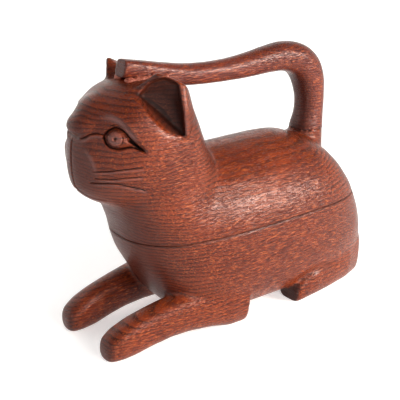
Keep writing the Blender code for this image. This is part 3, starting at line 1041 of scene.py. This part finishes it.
# %% [markdown]
# ## Wood
#
# The box is a reddish tropical hardwood, sanded fine, oiled and waxed. Three things make such wood: the
# growth layers, which lie nearly level through the block, so that they draw contour lines wherever the
# carving slopes; open pores, which are short dark dashes along the grain; and a thin coat of wax, which
# lies over all and gives broad, soft highlights. All patterns are worked out in millimetres from the
# mesh's own coordinates, so they run through base and lid without a break.

# %% Colours
def linear(hex_colour):
    """A linear colour from an sRGB hex value."""
    found = []
    for i in (0, 2, 4):
        value = int(hex_colour[i : i + 2], 16) / 255
        found.append(value / 12.92 if value <= 0.04045 else ((value + 0.055) / 1.055) ** 2.4)
    return (*found, 1.0)


# %% One node
def add_node(tree, kind, *inputs, named=None, output=0, **settings):
    """One output of a new node. inputs fill its sockets in order, and named fills them by name or number."""
    node = tree.nodes.new("ShaderNode" + kind)
    for key, value in settings.items():
        setattr(node, key, value)
    sockets = list(zip(node.inputs, inputs))
    sockets += [(node.inputs[key], value) for key, value in (named or {}).items()]
    for socket, value in sockets:
        if isinstance(value, bpy.types.NodeSocket):
            tree.links.new(value, socket)
        elif value is not None:
            socket.default_value = value
    return node.outputs[output]


def new_material(name):
    """A material, its node tree, and its one shader."""
    material = bpy.data.materials.new(name)
    material.use_nodes = True
    return material, material.node_tree, material.node_tree.nodes["Principled BSDF"]


# %% Growth layers
LAYER_SAG = 1 / 420  # mm down per square mm to the side
WANDER = 16.0  # mm that the layers rise and fall over about 34 mm
RIPPLE = 0.45  # mm, over about 6 mm
# How dark a layer is from its start to its end: pale early wood, then a dark line of late wood
LAYER_PROFILE = [(0.0, 0.0), (0.45, 0.18), (0.86, 1.0), (1.0, 0.1)]


def growth_lines(tree, spot, across_grain, layer, strength):
    """How dark the growth lines are, from nearly level sheets that sink to the sides and wander."""
    side = add_node(tree, "SeparateXYZ", spot, output=0)
    height = add_node(tree, "SeparateXYZ", spot, output=2)
    slow = add_node(tree, "VectorMath", spot, (1.0, 0.35, 1.0), operation="MULTIPLY")
    wander = add_node(tree, "TexNoise", named={"Vector": slow, "Scale": 1 / 34, "Detail": 2.0})
    ripple = add_node(tree, "TexNoise", named={"Vector": slow, "Scale": 1 / 6, "Detail": 2.0})
    squared = add_node(tree, "Math", side, side, operation="MULTIPLY")
    depth = add_node(tree, "Math", squared, LAYER_SAG, height, operation="MULTIPLY_ADD")
    depth = add_node(tree, "Math", wander, WANDER, depth, operation="MULTIPLY_ADD")
    depth = add_node(tree, "Math", ripple, RIPPLE, depth, operation="MULTIPLY_ADD")
    layers = add_node(tree, "Math", depth, layer, operation="DIVIDE")
    phase = add_node(tree, "Math", layers, operation="FRACT")
    line = add_node(tree, "ValToRGB", phase)
    stops = line.node.color_ramp.elements
    for position, _ in LAYER_PROFILE[1:-1]:
        stops.new(position)
    for stop, (position, dark) in zip(stops, LAYER_PROFILE):
        stop.position = position
        stop.color = (dark, dark, dark, 1.0)
    # The lines are clear where the carving cuts across the grain, and patchy along it
    patchy = add_node(tree, "TexNoise", named={"Vector": spot, "Scale": 1 / 26, "Detail": 1.0})
    clear = add_node(tree, "Math", across_grain, 0.95, patchy, operation="MULTIPLY_ADD")
    clear = add_node(tree, "Math", clear, 0.05, operation="ADD")
    clear = add_node(tree, "Math", clear, strength, operation="MULTIPLY")
    return add_node(tree, "Math", line, clear, operation="MULTIPLY", use_clamp=True)


# %% Hardwood
# Pores are dashes about 0.2 mm wide and 4 mm long. They are drawn nearly twice as wide, so that they show
PORE_WIDTH = 0.36
PORE_LENGTH = 4.8
WAX = {"IOR": 1.45, "Specular IOR Level": 0.4, "Coat Weight": 0.06, "Coat Roughness": 0.28, "Coat IOR": 1.45}


def carved_hardwood(name, layer, deep, middle, bright, layer_strength=1.0, offset=(0.0, 0.0, 0.0)):
    """Oiled and waxed reddish hardwood. layer is the distance between growth lines in millimetres."""
    material, tree, surface = new_material(name)
    place = add_node(tree, "TexCoord", output=3)
    normal = add_node(tree, "TexCoord", output=1)
    in_mm = add_node(tree, "VectorMath", place, named={"Scale": 1 / MM}, operation="SCALE")
    spot = add_node(tree, "VectorMath", in_mm, offset, operation="ADD")
    along_normal = add_node(tree, "SeparateXYZ", normal, output=1)
    across_grain = add_node(tree, "Math", along_normal, operation="ABSOLUTE")
    lines = growth_lines(tree, spot, across_grain, layer, layer_strength)

    # Open pores lie along the grain, and between them the bare fibres glint
    stretch = (1 / PORE_WIDTH, 1 / PORE_LENGTH, 1 / PORE_WIDTH)
    fibre = add_node(tree, "VectorMath", spot, stretch, operation="MULTIPLY")
    fleck = add_node(tree, "TexNoise", named={"Vector": fibre, "Detail": 3.0, "Scale": 1.0, "Roughness": 0.6})
    fine = add_node(tree, "TexNoise", named={"Vector": fibre, "Scale": 2.6, "Detail": 2.0})
    pores = add_node(tree, "MapRange", fleck, 0.54, 0.63, interpolation_type="SMOOTHSTEP")
    glints = add_node(tree, "MapRange", fleck, 0.46, 0.36, interpolation_type="SMOOTHSTEP")

    # Slow changes of tone come first. Glints, pores and end grain lie over them, then dark wax with painted
    # shade in the cuts and hollows, and painted highlights on lit edges
    tone = add_node(tree, "TexNoise", named={"Vector": spot, "Scale": 1 / 30, "Detail": 3.0})
    tone = add_node(tree, "MapRange", tone, 0.35, 0.65)
    end_grain = add_node(tree, "MapRange", across_grain, 0.25, 0.95, interpolation_type="SMOOTHSTEP")
    # Dark wax and painted shade in the cuts and hollows, and painted highlights on lit edges and facets
    cuts = add_node(tree, "Attribute", attribute_name="crease", output=2)
    highlight_share = add_node(tree, "Attribute", attribute_name="painted_highlight", output=2)
    colour = linear(middle)
    for share, amount, over in (
        (tone, 1.0, bright),
        (lines, 1.0, deep),
        (glints, 0.56, "c16c3c"),
        (pores, 0.62, "3c160d"),
        (end_grain, 0.66, "3f1814"),
        (cuts, 1.0, "23100d"),
        (highlight_share, 0.5, "94706c"),
    ):
        share = add_node(tree, "Math", share, amount, operation="MULTIPLY", use_clamp=True)
        mixed = {0: share, 6: colour, 7: linear(over)}
        colour = add_node(tree, "Mix", named=mixed, output=2, data_type="RGBA")
    tree.links.new(colour, surface.inputs["Base Color"])

    # Waxed wood is fairly glossy, and rougher in the pores and cuts
    rough = add_node(tree, "Math", fine, 0.16, 0.19, operation="MULTIPLY_ADD")
    rough = add_node(tree, "Math", pores, 0.18, rough, operation="MULTIPLY_ADD")
    rough = add_node(tree, "Math", cuts, 0.3, rough, operation="MULTIPLY_ADD")
    tree.links.new(rough, surface.inputs["Roughness"])
    for socket, value in WAX.items():
        surface.inputs[socket].default_value = value

    # The pores are open, and the harder lines stand a little proud
    height = add_node(tree, "Math", fine, 0.5, operation="MULTIPLY")
    height = add_node(tree, "Math", pores, -0.9, height, operation="MULTIPLY_ADD")
    height = add_node(tree, "Math", lines, 0.45, height, operation="MULTIPLY_ADD")
    relief = {"Height": height, "Distance": 0.17 * MM, "Strength": 0.9}
    tree.links.new(add_node(tree, "Bump", named=relief), surface.inputs["Normal"])
    return material


# %% The two hardwoods
oiled_hardwood = carved_hardwood("oiled carved red hardwood", 2.3, "34110b", "6b2b19", "833920")
tail_hardwood = carved_hardwood(
    "oiled red hardwood of the tail", 1.7, "3a150f", "602820", "743428", 0.8, (31.0, 12.0, 9.0)
)
print("hardwoods:", oiled_hardwood.name, "and", tail_hardwood.name)

# %% [markdown]
# ### Dowel wood and sawdust filler
#
# The hidden dowels and pegs are plain turned pins of a pale wood, such as beech, left unfinished: matt,
# with fine short flecks along the pin. Glue paste with sawdust dries to a dull pinkish crust, with grains
# of both colours in it. Both are one noise, stretched along the pin in the first and even in the second.

# %% Pins and filler
def flecked(name, fleck_mm, span, colours, roughness, relief_mm, strength):
    """A matt material with flecks of two colours. span is the part of the noise that goes between them."""
    material, tree, surface = new_material(name)
    place = add_node(tree, "TexCoord", output=3)
    stretch = tuple(1 / (size * MM) for size in fleck_mm)
    fibre = add_node(tree, "VectorMath", place, stretch, operation="MULTIPLY")
    fleck = add_node(tree, "TexNoise", named={"Vector": fibre, "Scale": 1.0, "Detail": 3.0})
    tone = add_node(tree, "MapRange", fleck, *span)
    mixed = {0: tone, 6: linear(colours[0]), 7: linear(colours[1])}
    colour = add_node(tree, "Mix", named=mixed, output=2, data_type="RGBA")
    rough = add_node(tree, "Math", fleck, *roughness, operation="MULTIPLY_ADD")
    relief = {"Height": fleck, "Distance": relief_mm * MM, "Strength": strength}
    bump = add_node(tree, "Bump", named=relief)
    for socket, value in (("Base Color", colour), ("Roughness", rough), ("Normal", bump)):
        tree.links.new(value, surface.inputs[socket])
    return material


beech = flecked(
    "turned beech, unfinished", (0.5, 0.5, 5.0), (0.0, 1.0), ("d6b58a", "a98158"), (0.2, 0.5), 0.1, 0.5
)
filler_paste = flecked(
    "sawdust and glue filler", (0.7, 0.7, 0.7), (0.38, 0.62), ("7d3a2c", "b06a55"), (0.3, 0.45), 0.3, 0.8
)
for node in ("tail_rear_dowel", "tail_front_dowel", "peg_front", "peg_rear"):
    pin = frame["nodes"][node]
    pin.data.materials.clear()
    pin.data.materials.append(beech)
    print(f"{node}: {beech.name}")
print("filler:", filler_paste.name)

# %% Put the pieces in place
SHARP_EDGE = math.radians(50)


def finished(piece, material, body, node):
    """Shades a piece, gives it its material, and lets it stand for the frame's plain one."""
    piece.data.materials.clear()
    piece.data.materials.append(material)
    piece.data.shade_smooth()
    piece.data.set_sharp_from_angle(angle=SHARP_EDGE)
    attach(piece, body)
    if node:
        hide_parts(node)


finished(base, oiled_hardwood, "base_half", "base")
finished(lid, oiled_hardwood, "lid_half", "lid")
finished(tail, tail_hardwood, "lid_half", "tail_handle")
finished(filler, filler_paste, "lid_half", None)

# %% [markdown]
# ## Table, light and camera
#
# The box stands on a white card that curves up all round. A soft window far away on the cat's left, a
# little behind it, gives the main light. Two round lamps stand on the same side: one puts the bright
# highlight on the flank, and the weaker one brightens the side. A larger, weak one above and on the other
# side fills the shadows, and so does an even white surround. The card gives off some light of its own, as
# a light table does, so that it stays white.

# %% Card sweep
CARD_SIDES = 96
# Radius and height, in metres
CARD_PROFILE = [(0.02, 0.0), (1.2, 0.0), (1.9, 0.05), (2.4, 0.25), (2.7, 0.7), (2.8, 1.6)]


def card_sweep():
    """A floor that curves up into a backdrop all round."""
    shape = bmesh.new()
    rings = []
    turns = [2 * math.pi * step / CARD_SIDES for step in range(CARD_SIDES)]
    for radius, height in CARD_PROFILE:
        rings.append([shape.verts.new((radius * math.cos(a), radius * math.sin(a), height)) for a in turns])
    for inner, outer in zip(rings, rings[1:]):
        for i in range(CARD_SIDES):
            j = (i + 1) % CARD_SIDES
            shape.faces.new((inner[i], outer[i], outer[j], inner[j]))
    shape.faces.new(rings[0])
    made = as_object("card_sweep", shape)
    made.data.shade_smooth()
    return made


card = bpy.data.materials.new("matt white card")
card.use_nodes = True
card_surface = card.node_tree.nodes["Principled BSDF"]
card_surface.inputs["Base Color"].default_value = linear("f4f3f1")
card_surface.inputs["Roughness"].default_value = 0.9
card_surface.inputs["Emission Color"].default_value = (1.0, 1.0, 1.0, 1.0)
card_surface.inputs["Emission Strength"].default_value = 0.42
sweep = card_sweep()
sweep.data.materials.append(card)
print(f"card {2 * CARD_PROFILE[-1][0]:.1f} m across")

# %% Camera
TARGET = Vector((0.0, -0.016, 0.070))  # metres
AZIMUTH = math.radians(52.5)  # from straight ahead of the cat, round to its left side
ELEVATION = math.radians(21.6)
DISTANCE = 0.510
HALF_WIDTH_SEEN = 0.120  # at that distance
FIELD = 2 * math.atan(HALF_WIDTH_SEEN / DISTANCE)
level = math.cos(ELEVATION)
turn = AZIMUTH - math.pi / 2
back = Vector((level * math.cos(turn), level * math.sin(turn), math.sin(ELEVATION)))
camera_data = bpy.data.cameras.new("camera")
camera_data.angle = FIELD
camera_data.clip_start = 0.01
camera = in_scene("camera", camera_data)
camera.location = TARGET + DISTANCE * back
camera.rotation_euler = (-back).to_track_quat("-Z", "Y").to_euler()
bpy.context.scene.camera = camera
print("camera at", [round(value, 4) for value in camera.location])


# %% Lamps
def soft_lamp(name, place, size, watts, colour):
    """A round lamp that looks at the cat."""
    lamp = bpy.data.lights.new(name, "AREA")
    lamp.shape = "DISK"
    lamp.size = size
    lamp.energy = watts
    lamp.color = colour
    holder = in_scene(name, lamp)
    holder.location = place
    holder.rotation_euler = (Vector(place) - TARGET).to_track_quat("Z", "Y").to_euler()


window = bpy.data.lights.new("window_light", "SUN")
window.energy = 2.6
window.angle = math.radians(26)
window.color = (1.0, 0.97, 0.93)
window_holder = in_scene("window_light", window)
toward_window = Vector((0.85, 0.44, 0.34))
window_holder.rotation_euler = toward_window.to_track_quat("Z", "Y").to_euler()
soft_lamp("side_lamp", TARGET + Vector((0.62, -0.02, 0.28)), 0.20, 1.2, (1.0, 0.98, 0.95))
soft_lamp("flank_lamp", TARGET + Vector((0.66, 0.45, 0.22)), 0.19, 4.9, (1.0, 0.95, 0.88))
shaded_side = TARGET - 0.6 * Vector(TOWARD_EAR) + 0.9 * Vector(TOWARD_BROW) - 0.1 * back
soft_lamp("fill_lamp", shaded_side, 0.5, 0.9, (0.94, 0.95, 1.0))
world = bpy.data.worlds.new("white surround")
world.use_nodes = True
world.node_tree.nodes["Background"].inputs["Color"].default_value = (1.0, 1.0, 1.0, 1.0)
world.node_tree.nodes["Background"].inputs["Strength"].default_value = 0.22
bpy.context.scene.world = world
bpy.context.scene.view_settings.view_transform = "Standard"
bpy.context.scene.view_settings.look = "Medium High Contrast"
print("lamps:", ", ".join(sorted(lamp.name for lamp in bpy.data.lights)))
